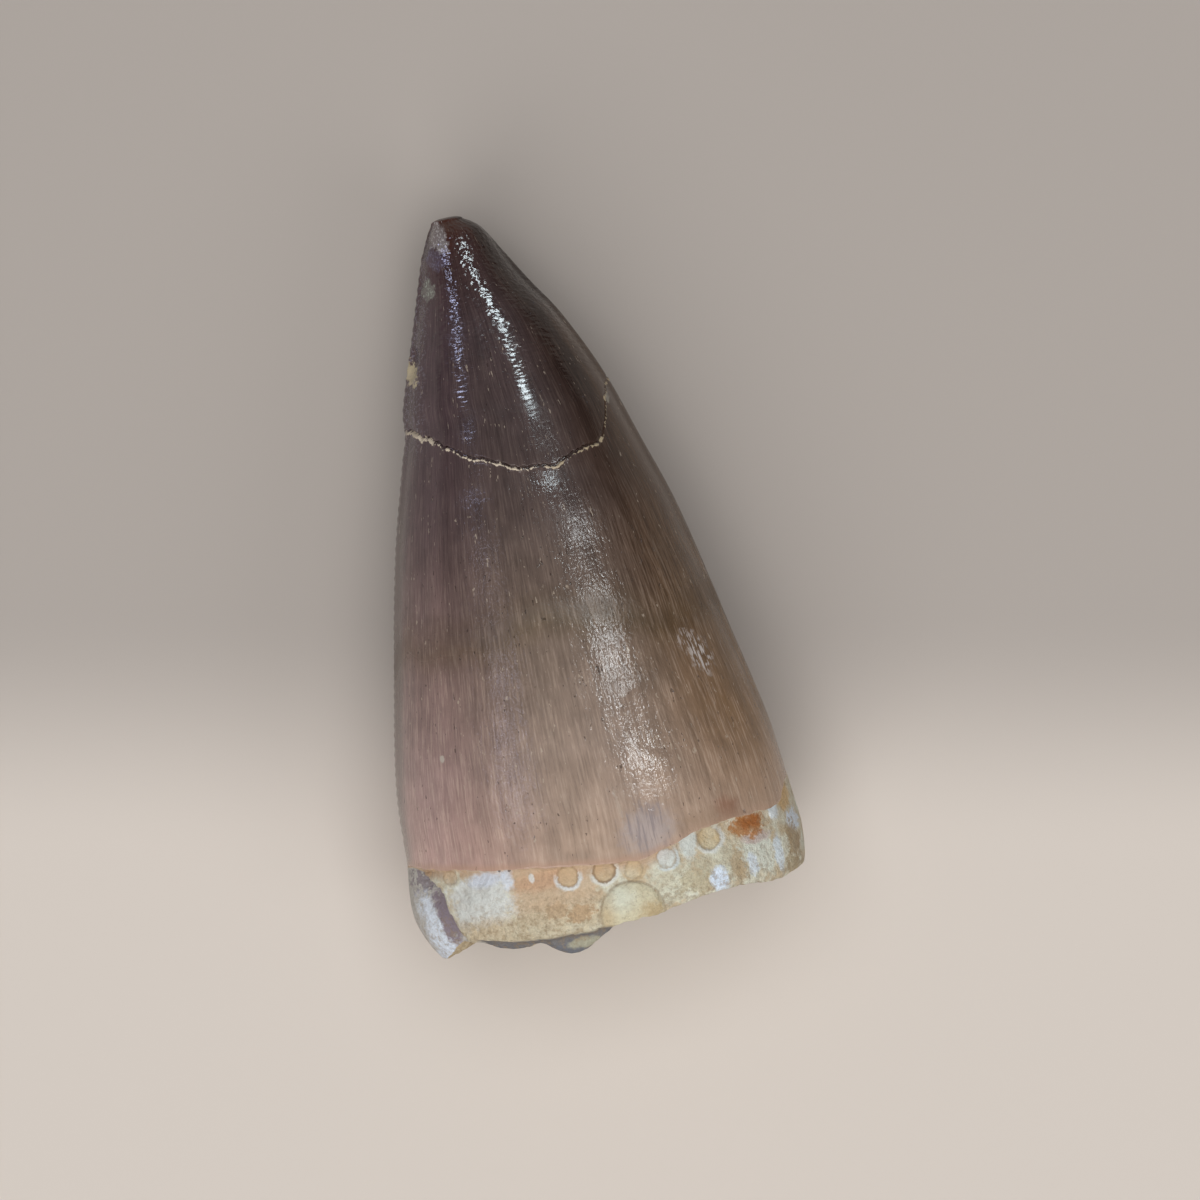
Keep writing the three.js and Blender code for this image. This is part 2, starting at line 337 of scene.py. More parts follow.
# The root band: soft lumps, grain, the round shells and the swelling over the lip.
def rootRelief(station, angle, place):
    relief = fineRelief
    waves = sine(angle * 7 + station * 31) + sine(angle * 13 - station * 47)
    lumps = relief["rootLumps"] * waves + relief["rootGrain"] * roughNoise(place, 0.9, 41)
    lumps = lumps + 0.5 * relief["rootGrain"] * softNoise(place, 0.3, 43)
    onFront = sine(angle) > 0.2
    onSpur = between(angle, 150, 156, 176, 190) * (1 - fade(station, 54, 56.5))
    pits = np.clip(0.25 - np.abs(softNoise(place * (1, 1.4, 1), 0.8, 44)), 0, 1) * 4
    lumps = lumps - relief["spurPits"] * pits * onSpur
    fromDome = np.hypot(*np.moveaxis(place[..., :2] - domePlace["at"], -1, 0))
    lumps = lumps - relief["domeGroove"] * bell(fromDome - domePlace["radius"], 0.12) * onFront
    for each in rootShells:
        away = np.hypot(*np.moveaxis(place[..., :2] - each["at"], -1, 0)) / each["radius"]
        form = each["rim"] * bell(away - 0.92, 0.2) + each["disc"] * (1 - fade(away, 0.7, 0.95))
        lumps = lumps + np.where(onFront, form, 0)
    return lumps - toothForm["enamelStep"]


# The whole relief in millimetres along the section's normal.
def toothRelief(station, angle, halfWidth, place, lines):
    form = toothForm
    edge = np.abs(cosine(angle)) ** 14
    crown = 1 - fade(station, lines["enamel"] - 0.02, lines["enamel"] + 0.3)
    belowPlate = fade(station, lines["plate"] - 0.05, lines["plate"] + 0.28)
    rounding = 0.22 * fade(station, lines["rim"] - 0.35, lines["rim"])
    root = (1 - crown) * rootRelief(station, angle, place)
    root = root - belowPlate * (form["plateStep"] + 0.1 * roughNoise(place, 0.7, 51)) - rounding
    dents = sum(roundSpot(station, angle, halfWidth, dent) for dent in form["frontDents"])
    swelling = roundSpot(station, angle, halfWidth, form["dome"])
    body = root + crown * crownRelief(station, angle) + swelling
    return crackRelief(station, angle, station - lines["crack"]) + (1 - edge) * body + dents


# The plain oval of each section: half width cos(angle) across, depth sin(angle) up, with a low
# ridge, the carina, along each edge. The ridge has fine notches on its left side.
def ovalSection(station, angle, widen):
    form = toothForm
    left = curveThrough(form["leftEdge"], station)
    right = curveThrough(form["rightEdge"], station)
    level = curveThrough(form["edgeHeight"], station)
    upper = curveThrough(form["frontHeight"], station) - level
    lower = level - curveThrough(form["backHeight"], station)
    depth = np.where(sine(angle) > 0, upper, lower)
    carina = form["carinaHeight"] * between(station, *form["carinaEnds"])
    fromEdge = np.minimum(turnBetween(angle, 0), turnBetween(angle, 180))
    notches = 0.5 + 0.5 * np.sin(2 * np.pi * station / fineRelief["serrationSpacing"])
    notches = fineRelief["serration"] * notches * near(angle, 180, 4) * (carina > 0.05)
    oval = (left + right) / 2 - carina + carina * bell(fromEdge, form["carinaHalfWidth"]) - notches
    x = (right - left) / 2 + widen * oval * cosine(angle)
    z = level + widen * depth * sine(angle)
    normal = np.stack([cosine(angle) / oval, sine(angle) / depth], -1)
    normal = normal / np.linalg.norm(normal, axis=-1, keepdims=True)
    return x, z, normal, oval


# Outside of the tooth: oval section plus relief along its normal, never below the table.
def outsideSurface(station, angle, widen, rise, lines):
    x, z, normal, oval = ovalSection(station, angle, widen)
    y = toothForm["tipY"] - station + rise
    place = np.stack([x, y, z], -1)
    relief = toothRelief(station, angle, oval, place, lines) * widen**4
    x = x + relief * normal[..., 0]
    z = z + relief * normal[..., 1]
    return np.stack([x, y, np.maximum(z, 0)], -1)


# Rows between two lines round the tooth: start + (end - start) * share^power, start left out.
def rowsBetween(start, end, count, power):
    share = (np.arange(1, count + 1) / count)[:, None] ** power
    return start + (end - start) * share


# The broken end: each rim point drawn in to the middle by a share from 0 to 1. The wall slopes
# in, a ledge drops to the matrix, and the matrix swells a little and is rough.
def endSurface(rim, share, angle):
    form = toothForm
    centre = np.array([form["endCentre"][0], form["tipY"] - form["endCentre"][1], form["endCentre"][2]])
    place = rim + (centre - rim) * share[..., None]
    wall = form["endWallShare"] + 0.05 * softNoise(grainCoords(0 * angle, angle), 3.1, 61)
    slope = fade(share, 0, wall + 0.1)
    ledge = form["endLedge"] * fade(share, wall, wall + 0.06)
    swell = form["matrixSwell"] * fade(share, wall + 0.1, 1)
    lumps = sine(angle * 5 + share * 540) + sine(angle * 9 - share * 700)
    y = rim[..., 1] * (1 - slope) + centre[1] * slope + ledge - swell
    y = y + form["endRoughness"] * lumps * slope * (1 - share)
    grain = roughNoise(place * (1, 0, 1), 1.3, 62) + 0.6 * softNoise(place * (1, 0, 1), 0.4, 64)
    place[..., 1] = y + fineRelief["endGrain"] * grain * fade(share, 0, 0.08)
    return place


# All rows of the tooth from the tip to the middle of the broken end, with what the finishes read.
def toothSurface():
    grid = toothGrid
    front = np.arange(grid["frontColumns"]) * 180 / grid["frontColumns"]
    back = 180 + np.arange(grid["backColumns"]) * 180 / grid["backColumns"]
    angles = np.concatenate([front, back])
    lines = lineStations(angles)
    crack, enamel, rim = lines["crack"], lines["enamel"], lines["rim"]
    reach, (aboveEnamel, belowEnamel) = grid["crackReach"], grid["enamelReach"]
    cap = np.full(len(angles), toothForm["tipCapDepth"])
    slopes = np.radians(np.linspace(9, 90, grid["tipCapRows"]))
    stops = [cap, crack - reach, crack + reach, enamel - aboveEnamel, enamel + belowEnamel, rim]
    stations = [np.tile(cap, (len(slopes), 1))]
    for number, count in enumerate(grid["rows"]):
        power = 1 if number else grid["towardsTip"]
        stations.append(rowsBetween(stops[number], stops[number + 1], count, power))
    crownRows = sum(len(rows) for rows in stations[:4]) + grid["rows"][3] // 3
    station = np.concatenate(stations)
    widen = np.ones(len(station))
    widen[: len(slopes)] = np.sin(slopes)
    rise = np.zeros(len(station))
    rise[: len(slopes)] = toothForm["tipCapDepth"] * np.cos(slopes)
    angle = np.tile(angles, (len(station), 1))
    outside = outsideSurface(station, angle, widen[:, None], rise[:, None], lines)
    share = (np.arange(1, grid["endRows"] + 1) / (grid["endRows"] + 1))[:, None] ** grid["towardsRim"]
    endAngle = np.tile(angles, (grid["endRows"], 1))
    end = endSurface(np.tile(outside[-1], (grid["endRows"], 1, 1)), share + 0 * endAngle, endAngle)
    endStation = toothForm["tipY"] - end[..., 1]
    allStations = np.concatenate([station, endStation])
    allAngles = np.concatenate([angle, endAngle])
    marks = {
        "station": allStations,
        "across": cosine(allAngles),
        "fromCrack": allStations - crack,
        "fromEnamel": allStations - enamel,
        "fromPlate": allStations - lines["plate"],
        "crackOpen": crackStrength(allAngles),
        "inward": np.concatenate([0 * station, share + 0 * endAngle]),
    }
    print("tooth rows", len(allStations), "columns", len(angles))
    return np.concatenate([outside, end]), allAngles, marks, crownRows, len(station)


# Quads between neighbouring rows and columns, closed round the tooth, with a fan at each pole.
def toothFaces(rows, columns):
    row = np.arange(rows - 1)[:, None] * columns
    here = np.arange(columns)
    following = (here + 1) % columns
    quads = np.stack([row + here, row + following, row + columns + following, row + columns + here], -1)
    tip, end, last = rows * columns, rows * columns + 1, (rows - 1) * columns
    tipFan = np.stack([np.full(columns, tip), following, here], -1)
    endFan = np.stack([last + here, last + following, np.full(columns, end)], -1)
    return quads.reshape(-1, 4), tipFan, endFan


# Puts an object with this data into the scene.
def addObject(name, data):
    item = bpy.data.objects.new(name, data)
    bpy.context.scene.collection.objects.link(item)
    return item


# Puts points and faces into a mesh, and the values that the finishes read on its points.
def buildTooth():
    points, angles, marks, crownRows, outsideRows = toothSurface()
    rows, columns = angles.shape
    quads, tipFan, endFan = toothFaces(rows, columns)
    tipPole = points[0].mean(0) + (0, 0.004, 0)
    endPole = points[-1].mean(0)
    places = np.concatenate([points.reshape(-1, 3), [tipPole, endPole]]) * mm
    places = np.clip(places, *np.array(cadBox))
    mesh = bpy.data.meshes.new("tooth surface")
    faces = [*quads.tolist(), *tipFan.tolist(), *endFan.tolist()]
    mesh.from_pydata(places.tolist(), [], faces)
    faceRow = np.repeat(np.arange(rows - 1), columns)
    faceRow = np.concatenate([faceRow, np.zeros(columns), np.full(columns, rows)])
    finish = np.where(faceRow < crownRows, 0, np.where(faceRow < outsideRows - 1, 1, 2))
    mesh.polygons.foreach_set("material_index", finish.astype(np.int32))
    mesh.update(calc_edges=True)
    mesh.shade_smooth()
    for name, values in marks.items():
        ends = [values[0].mean(), values[-1].mean()]
        if name == "inward":
            ends = [0.0, 1.0]
        layer = mesh.attributes.new(name, "FLOAT", "POINT")
        layer.data.foreach_set("value", np.concatenate([values.ravel(), ends]).astype(np.float32))
    grain = grainCoords(marks["station"], angles).reshape(-1, 3)
    grain = np.concatenate([grain, [(0, 0, 0), (0, 0, marks["station"][-1].mean())]])
    layer = mesh.attributes.new("grain", "FLOAT_VECTOR", "POINT")
    layer.data.foreach_set("vector", grain.ravel().astype(np.float32))
    print("tooth faces", len(faces), "triangles", 2 * len(quads) + 2 * columns)
    return addObject("fossilTooth", mesh)


# Display colour 0 to 255 to the linear values that the shaders take.
def colour(red, green, blue):
    values = np.array([red, green, blue]) / 255
    linear = np.where(values <= 0.04045, values / 12.92, ((values + 0.055) / 1.055) ** 2.4)
    return (*[float(v) for v in linear], 1)


# New shader nodes go into shading.tree: the group or the finish begun last.
shading = SimpleNamespace(tree=None)
groups = {}


def setInput(socket, value):
    if isinstance(value, bpy.types.NodeSocket):
        shading.tree.links.new(value, socket)
    else:
        socket.default_value = value


# Adds a shader node; inputs go by name or number, the other words are its own settings.
def addNode(kind, inputs=None, **settings):
    node = shading.tree.nodes.new("ShaderNode" + kind)
    for name, value in settings.items():
        setattr(node, name, value)
    for name, value in (inputs or {}).items():
        setInput(node.inputs[name], value)
    return node


def calc(operation, first, second=0, third=0):
    return addNode("Math", {0: first, 1: second, 2: third}, operation=operation).outputs[0]


# Product of any number of values.
def times(product, *others):
    for value in others:
        product = calc("MULTIPLY", product, value)
    return product


# first * second + third
def timesPlus(first, second, third):
    return calc("MULTIPLY_ADD", first, second, third)


def vectorCalc(operation, first, second=(0, 0, 0), output="Vector"):
    node = addNode("VectorMath", {0: first, 1: second}, operation=operation)
    return node.outputs[output]


def stretched(vector, factors):
    return vectorCalc("MULTIPLY", vector, factors)


# Smooth step of a value from low to high, giving start to end.
def ease(value, low, high, start=0, end=1):
    inputs = {0: value, 1: low, 2: high, 3: start, 4: end}
    return addNode("MapRange", inputs, interpolation_type="SMOOTHSTEP").outputs[0]


def mixColours(factor, first, second, blend="MIX"):
    node = addNode("Mix", {0: factor, 6: first, 7: second}, data_type="RGBA", blend_type=blend)
    node.clamp_factor = True
    return node.outputs[2]


# Lays a display colour over a base by a strength from 0 to 1.
def paint(base, strength, tone, blend="MIX"):
    return mixColours(strength, base, colour(*tone), blend)


# Lays named colours of a look over a base, one after another, each by its own strength.
def paintAll(base, look, blend="MIX", **strengths):
    for name, strength in strengths.items():
        base = paint(base, strength, look[name], blend)
    return base


# Noise from 0 to 1, stretched along its own axes where factors are given.
def noise(vector, scale, detail=2, roughness=0.5, factors=None):
    if factors:
        vector = stretched(vector, factors)
    inputs = {"Vector": vector, "Scale": scale, "Detail": detail, "Roughness": roughness}
    return addNode("TexNoise", inputs).outputs[0]


# The same from -0.5 to 0.5.
def centredNoise(*shape):
    return calc("SUBTRACT", noise(*shape), 0.5)


# How far a value is from another.
def apart(value, other):
    return calc("ABSOLUTE", calc("SUBTRACT", value, other))


# A value that the mesh carries at each point.
def readValue(name, output="Fac"):
    return addNode("Attribute", attribute_name=name).outputs[output]


# Object coordinates in millimetres.
def placeInMm():
    coords = addNode("TexCoord").outputs["Object"]
    return addNode("VectorMath", {0: coords, 3: 1 / mm}, operation="SCALE").outputs[0]


# Begins a shader group and gives what goes into it and what it makes: vectors for places, sizes
# and sides, numbers for the rest.
def newGroup(name, inputs, outputs):
    tree = bpy.data.node_groups.new(name, "ShaderNodeTree")
    for way, labels in (("INPUT", inputs), ("OUTPUT", outputs)):
        for label in labels:
            kind = "Vector" if label in ("Place", "Centre", "Size", "Lit Side") else "Float"
            tree.interface.new_socket(label, in_out=way, socket_type="NodeSocket" + kind)
    shading.tree = groups[name] = tree
    return tree.nodes.new("NodeGroupInput").outputs, tree.nodes.new("NodeGroupOutput").inputs


def useGroup(name, inputs):
    return addNode("Group", inputs, node_tree=groups[name]).outputs


def specksOf(place, kind):
    inputs = {"Place": place, "Per Mm": kind["perMm"], "Level": kind["level"]}
    return useGroup("specks", inputs)["Mask"]


# The way from a centre to each point, laid flat on the table, and its length.
def flatFrom(place, centre):
    flat = stretched(vectorCalc("SUBTRACT", place, centre), (1, 1, 0))
    return flat, vectorCalc("LENGTH", flat, output="Value")


# Spot with a ragged border: 1 inside, 0 outside. Corners 2 gives an oval and 6 nearly a box.
def raggedSpotGroup():
    sockets = ["Place", "Wander", "Centre", "Size", "Turn", "Corners", "Ragged", "Soft"]
    given, made = newGroup("raggedSpot", sockets, ["Mask"])
    away = vectorCalc("SUBTRACT", given["Place"], given["Centre"])
    turning = {"Vector": away, "Angle": given["Turn"]}
    turned = addNode("VectorRotate", turning, rotation_type="Z_AXIS").outputs[0]
    scaled = vectorCalc("ABSOLUTE", vectorCalc("DIVIDE", turned, given["Size"]))
    sides = addNode("SeparateXYZ", {0: scaled}).outputs
    powers = calc("ADD", *[calc("POWER", sides[i], given["Corners"]) for i in (0, 1)])
    distance = calc("POWER", powers, calc("DIVIDE", 1, given["Corners"]))
    distance = timesPlus(given["Wander"], given["Ragged"], distance)
    inner, outer = [calc(way, 1, given["Soft"]) for way in ("SUBTRACT", "ADD")]
    setInput(made["Mask"], ease(distance, inner, outer, 1, 0))


# Small round shell: a disc, a thin rim that is stronger on one side, a painted highlight where the wall
# catches the light, and a line between them.
def roundShellGroup():
    sockets = ["Place", "Wander", "Centre", "Radius", "Lit Side"]
    given, made = newGroup("roundShell", sockets, ["Disc", "Rim", "Outline"])
    flat, distance = flatFrom(given["Place"], given["Centre"])
    distance = timesPlus(given["Wander"], 0.55, distance)
    part = calc("DIVIDE", distance, given["Radius"])
    direction = vectorCalc("NORMALIZE", flat)
    side = vectorCalc("DOT_PRODUCT", direction, given["Lit Side"], "Value")
    side = timesPlus(given["Wander"], 1.6, side)
    rim = times(ease(part, 0.74, 0.86), ease(part, 1, 1.2, 1, 0))
    outline = times(ease(part, 0.6, 0.78), ease(part, 0.8, 0.92, 1, 0))
    setInput(made["Disc"], ease(part, 0.7, 0.84, 1, 0))
    setInput(made["Rim"], times(rim, ease(side, -0.5, 0.4)))
    setInput(made["Outline"], outline)


# Specks of uneven size: the peaks of a noise above a level.
def specksGroup():
    given, made = newGroup("specks", ["Place", "Per Mm", "Level"], ["Mask"])
    peaks = noise(given["Place"], given["Per Mm"], 2, 0.7)
    setInput(made["Mask"], ease(peaks, given["Level"], calc("ADD", given["Level"], 0.04)))


# Grain for bumps and colour: coarse and fine noise as one height from 0 to 1.
def stoneGrainGroup():
    given, made = newGroup("stoneGrain", ["Place", "Coarse", "Fine"], ["Height", "Mottle"])
    coarse = noise(given["Place"], given["Coarse"], 4, 0.6)
    fine = noise(given["Place"], given["Fine"], 3, 0.65)
    setInput(made["Height"], timesPlus(fine, 0.5, times(coarse, 0.5)))
    setInput(made["Mottle"], ease(coarse, 0.35, 0.65))


for makeGroup in (raggedSpotGroup, roundShellGroup, specksGroup, stoneGrainGroup):
    makeGroup()


# Begins a material and gives the inputs of its shader.
def newFinish(name):
    material = bpy.data.materials.new(name)
    material.use_nodes = True
    shading.tree = material.node_tree
    shader = next(node for node in shading.tree.nodes if node.type == "BSDF_PRINCIPLED")
    return material, shader.inputs


# Gives a shader its colour and its roughness, and a bump of some reach in mm.
def fillShader(inputs, base, roughness, height, reach):
    setInput(inputs["Base Color"], base)
    setInput(inputs["Roughness"], roughness)
    bump = addNode("Bump", {"Strength": 1, "Distance": reach * mm, "Height": height})
    setInput(inputs["Normal"], bump.outputs[0])


# What the enamel and the root share: places, station and across, a mask for the front above a
# height in mm, and a fine wander for ragged borders.
def toothMarks(frontHeight, detail, roughness):
    place = placeInMm()
    height = addNode("SeparateXYZ", {0: place}).outputs[2]
    return SimpleNamespace(
        place=place,
        station=readValue("station"),
        across=readValue("across"),
        onFront=ease(height, frontHeight, frontHeight + 1),
        wander=centredNoise(place, 1.5, detail, roughness),
    )


# A number as a grey colour, to multiply with.
def greyOf(value):
    return addNode("CombineColor", {0: value, 1: value, 2: value}).outputs[0]


# One ragged spot: its place and half sizes in mm, its colour, and where it isn't a plain oval.
def spot(at, size, tone, strength=1, turn=0, corners=2, ragged=1.2, soft=0.25):
    shape = {"Centre": (*at, 0), "Size": (*size, 1), "Turn": -math.radians(turn)}
    shape |= {"Corners": corners, "Ragged": ragged, "Soft": soft}
    return {"tone": tone, "strength": strength, "shape": shape}


# Paints a list of spots over a colour, one after another, as far as a mask allows.
def paintSpots(base, marks, within, spots):
    for each in spots:
        given = {"Place": marks.place, "Wander": marks.wander, **each["shape"]}
        mask = useGroup("raggedSpot", given)["Mask"]
        strength = times(mask, times(within, each["strength"]))
        base = paint(base, strength, each["tone"])
    return base


enamelLook = {
    "rampEnd": 56,
    "ramp": [
        (0, (76, 38, 26)), (2.2, (62, 42, 42)), (9, (69, 56, 58)), (17, (72, 60, 60)),
        (25, (84, 71, 68)), (32, (107, 92, 84)), (35.5, (102, 87, 72)), (37.5, (122, 106, 95)),
        (46, (148, 130, 118)), (55, (176, 153, 136)),
    ],
    # painted light: a bluish reflection on the left, and painted shade with a browner tone on the right
    # and at the tip's right
    "leftBlueReflection": (250, 238, 255),
    "rightShadeTint": (210, 184, 138),
    "tipRightShadeTint": (150, 112, 92),
    "thinEdge": (76, 52, 30),
    "edgeLine": (184, 150, 130),
    "paleLine": (206, 186, 170),
    # pale specks, painted as glints
    "speck": (186, 172, 156),
    "scuff": (150, 144, 158),
    # painted highlight along the left rim, on the carina's bevel
    "edgeScuff": (112, 104, 98),
    "crackFill": (214, 200, 180),
    "crackFillRight": (178, 162, 134),
    # painted shadow: under the crack's overhanging tip piece and in the pits
    "crackDark": (44, 30, 24),
    "scuffStrength": 0.5,
    "specks": {"perMm": 2.1, "level": 0.68, "strength": 0.55},
    "pits": {"perMm": 2.4, "level": 0.68, "strength": 0.6},
    "roughness": (0.11, 0.21),  # glossy grains, duller grains
    "oliveBand": {"station": 34.8, "reach": (0.2, 2.2), "roughness": 0.34},
    "crackRoughness": 0.8,
    "ior": 1.5,
    "bump": 0.08,  # mm
    "noises": {  # along the grain: per mm, detail, roughness, stretch round and along it
        "waves": (0.14, 2, 0.5, (1, 1, 0.3)),
        "broad": (0.7, 2, 0.5, (1, 1, 0.06)),
        "bands": (0.34, 2, 0.5, (0.12, 0.12, 1)),
        "lines": (4.9, 3, 0.6, (1, 1, 0.085)),
        "ticks": (2, 3, 0.7, (0.6, 0.6, 2)),
        "scratches": (4, 2, 0.5, (1, 1, 0.35)),
        "grit": (3.2, 2, 0.55, (1, 1, 0.7)),
        "rungs": (1.1, 1, 0.5, (0.45, 0.45, 3)),
        "crack": (1.5, 4, 0.7, (1, 1, 0.4)),
        "beads": (1.4, 4, 0.72, (1, 1, 0.6)),
    },
    "spots": [
        spot((-11.54, -13.04), (0.2, 0.3), (190, 182, 172), 0.8),
        spot((10.7, -21.9), (0.9, 0.9), (136, 90, 70), 0.6, soft=0.7),
        spot((2, -20), (0.16, 1.6), (190, 176, 162), 0.35, turn=6, ragged=3),
        spot((8.9, -22.4), (2.6, 0.8), (156, 132, 112), 0.5, soft=0.6),
        spot((4, -22.3), (2, 1.7), (172, 166, 170), 0.55, soft=0.6),
        spot((8.12, 13.5), (0.13, 0.42), (158, 156, 144), 0.6, ragged=3),
        spot((-7.45, 18.9), (0.5, 1.1), (208, 194, 162), 0.85, ragged=3.2),
    ],
    "scratches": [
        spot((11.2, -8.9), (0.75, 1.5), (196, 188, 184), turn=18, ragged=1.4, soft=0.5),
        spot((10.2, -7.4), (0.7, 0.8), (176, 164, 158), 0.8, ragged=1.8),
    ],
    "stripes": [
        spot((3.7, -22.1), (1.9, 2), (140, 130, 132), 0.6, soft=0.5),
        spot((9, 1.5), (3.2, 7), (52, 34, 20), 0.45, turn=14, soft=0.8),
    ],
    "chips": [
        spot((-4.65, 25.3), (0.55, 0.8), (164, 170, 160), ragged=2.4),
        spot((-3.5, 27.8), (0.9, 1), (116, 112, 136), 0.8, ragged=2.6),
        spot((-2.95, 29.5), (0.75, 1.4), (200, 196, 198), turn=12, ragged=1.8),
    ],
}


# The enamel's marks, with its own noises along the grain.
def enamelMarks():
    marks = toothMarks(frontHeight=8, detail=3, roughness=0.65)
    marks.grain = readValue("grain", "Vector")
    for name, shape in enamelLook["noises"].items():
        setattr(marks, name, noise(marks.grain, *shape))
    marks.wavyStation = timesPlus(calc("SUBTRACT", marks.waves, 0.5), 6, marks.station)
    marks.ticks = ease(marks.ticks, 0.52, 0.62)
    return marks


# Colour by station on a slightly wavy line, tinted towards both edges: a painted bluish reflection on the
# left, and painted shade with a browner tone on the right, deepest near the tip.
def enamelBase(marks):
    look, station, across = enamelLook, marks.station, marks.across
    ramp = addNode("ValToRGB", {0: calc("DIVIDE", marks.wavyStation, look["rampEnd"])})
    stops = ramp.color_ramp.elements
    for number, (stopStation, tone) in enumerate(look["ramp"]):
        stop = stops[number] if number < 2 else stops.new(stopStation / look["rampEnd"])
        stop.position = stopStation / look["rampEnd"]
        stop.color = colour(*tone)
    atRight = times(ease(across, 0.2, 1), ease(station, 44, 55, 1, 0.3))
    nearTip = times(ease(station, 12, 30, 1, 0), ease(across, 0.4, 0.8))
    thin = times(ease(across, 0.8, 0.94), ease(station, 7, 12), ease(station, 24, 34, 0.6, 0))
    tints = {"leftBlueReflection": ease(across, -0.1, -0.9), "rightShadeTint": atRight, "tipRightShadeTint": nearTip}
    base = paintAll(ramp.outputs[0], look, "MULTIPLY", **tints)
    return paint(base, thin, look["thinEdge"])


# Lengthwise growth lines, crisp and pale near the root, over broad and cloudy shades, with painted light
# towards both edges.
def enamelLines(marks, base):
    station, across = marks.station, marks.across
    pale = times(ease(marks.lines, 0.5, 0.66), ease(station, 22, 53, 0.05, 0.26))
    base = paint(base, pale, enamelLook["paleLine"])
    dark = times(ease(marks.lines, 0.46, 0.36), ease(station, 14, 44, 0.2, 0.15))
    cloud = noise(marks.place, 0.45, 3)
    shade = calc("SUBTRACT", ease(marks.broad, 0.3, 0.7, 0.91, 1.08), dark)
    # painted light: brighter towards both edges and more at the left, to make up for the light falling off
    # there
    beside = ease(calc("ABSOLUTE", across), 0.3, 0.8, 1, 1.16)
    beside = times(beside, ease(across, -0.6, -0.9, 1, 1.15))
    shade = times(shade, ease(cloud, 0.3, 0.7, 0.9, 1.08), beside)
    return mixColours(1, base, greyOf(shade), "MULTIPLY")


# Scuffs along the left edge, a painted highlight along the left rim, pale specks painted as glints and
# dark pits painted with shade all over, and the single spots.
def enamelWear(marks, base):
    look, station, across = enamelLook, marks.station, marks.across
    byEdge = times(ease(across, -0.78, -0.95), ease(station, 16, 21, 1, 0))
    scuff = times(marks.ticks, byEdge)
    # painted highlight: a lighter strip along the left rim
    rimHighlight = times(ease(across, -0.955, -0.99), ease(station, 18, 26, 0, 0.6))
    alongGrain = stretched(marks.grain, (1, 1, 0.5))
    # painted light: pale specks stand for glints, and the pits are painted dark with shade
    specks = specksOf(alongGrain, look["specks"])
    pits = specksOf(vectorCalc("ADD", alongGrain, (7.3, 2.9, 5.1)), look["pits"])
    base = paintAll(
        base,
        look,
        scuff=times(scuff, look["scuffStrength"]),
        edgeScuff=rimHighlight,
        speck=times(specks, look["specks"]["strength"]),
        crackDark=times(pits, look["pits"]["strength"]),
    )
    within = {
        "spots": marks.onFront,
        "scratches": times(marks.onFront, ease(marks.scratches, 0.5, 0.58)),
        "stripes": times(marks.onFront, ease(marks.lines, 0.5, 0.4)),
        "chips": times(marks.onFront, timesPlus(marks.ticks, 0.7, 0.3)),
    }
    for name, mask in within.items():
        base = paintSpots(base, marks, mask, look[name])
    return base, scuff, pits


# The crack: a broken line of painted shadow above, under the overhanging tip piece, pale beads below, and
# pale dots where it turns up.
def enamelCrack(marks, base):
    look, across = enamelLook, marks.across
    fromCrack = readValue("fromCrack")
    opened = ease(readValue("crackOpen"), 0.35, 0.8)
    fromGroove = calc("ABSOLUTE", calc("ADD", fromCrack, 0.04))
    offGroove = calc("SUBTRACT", fromGroove, timesPlus(marks.crack, 0.7, -0.35))
    # painted shadow under the overhanging tip piece
    dark = times(ease(offGroove, -0.03, 0.04, 1, 0), opened)
    beadEdge = timesPlus(marks.beads, 0.95, ease(across, -0.65, -0.95, -0.435, -0.33))
    offBead = calc("SUBTRACT", apart(fromCrack, fineRelief["beadOffset"]), beadEdge)
    bead = ease(offBead, -0.03, 0.03, 1, 0)
    dotted = times(calc("GREATER_THAN", marks.beads, 0.54), ease(across, 0.6, 0.72))
    bead = times(bead, calc("MAXIMUM", opened, dotted))
    fill = paint(colour(*look["crackFill"]), ease(across, 0.1, 0.4), look["crackFillRight"])
    base = paint(base, dark, look["crackDark"])
    return mixColours(bead, base, fill), bead


def enamelFinish():
    look = enamelLook
    material, inputs = newFinish("polished enamel")
    marks = enamelMarks()
    station = marks.station
    base = enamelLines(marks, enamelBase(marks))
    base, scuff, pits = enamelWear(marks, base)
    byRoot = times(ease(readValue("fromEnamel"), -0.7, -0.05), ease(marks.across, 0.1, 0.5, 0.6, 0.2))
    base = paint(base, byRoot, look["edgeLine"])  # a thin warm line ends the enamel
    base, bead = enamelCrack(marks, base)

    # glossy grains between duller ones, with duller bands across and on the olive band
    gloss = timesPlus(marks.bands, 0.7, times(marks.grit, 0.6))
    olive = look["oliveBand"]
    fromOlive = apart(marks.wavyStation, olive["station"])
    dull = ease(fromOlive, *olive["reach"], olive["roughness"], look["roughness"][0])
    rough = calc("MAXIMUM", ease(gloss, 0.52, 0.84, *look["roughness"]), dull)
    rough = calc("MAXIMUM", rough, times(bead, look["crackRoughness"]))
    inputs["IOR"].default_value = look["ior"]

    # relief too fine for the mesh: rungs near the tip, grains further down, growth lines
    rungs = times(marks.rungs, ease(station, 9, 19, 1.2, 0.15))
    relief = timesPlus(marks.lines, ease(station, 18, 46, 0.02, 0.14), rungs)
    relief = timesPlus(marks.grit, ease(station, 13, 32, 0.05, 0.55), relief)
    relief = timesPlus(pits, -0.4, timesPlus(scuff, 0.3, relief))
    fillShader(inputs, base, rough, relief, look["bump"])
    return material


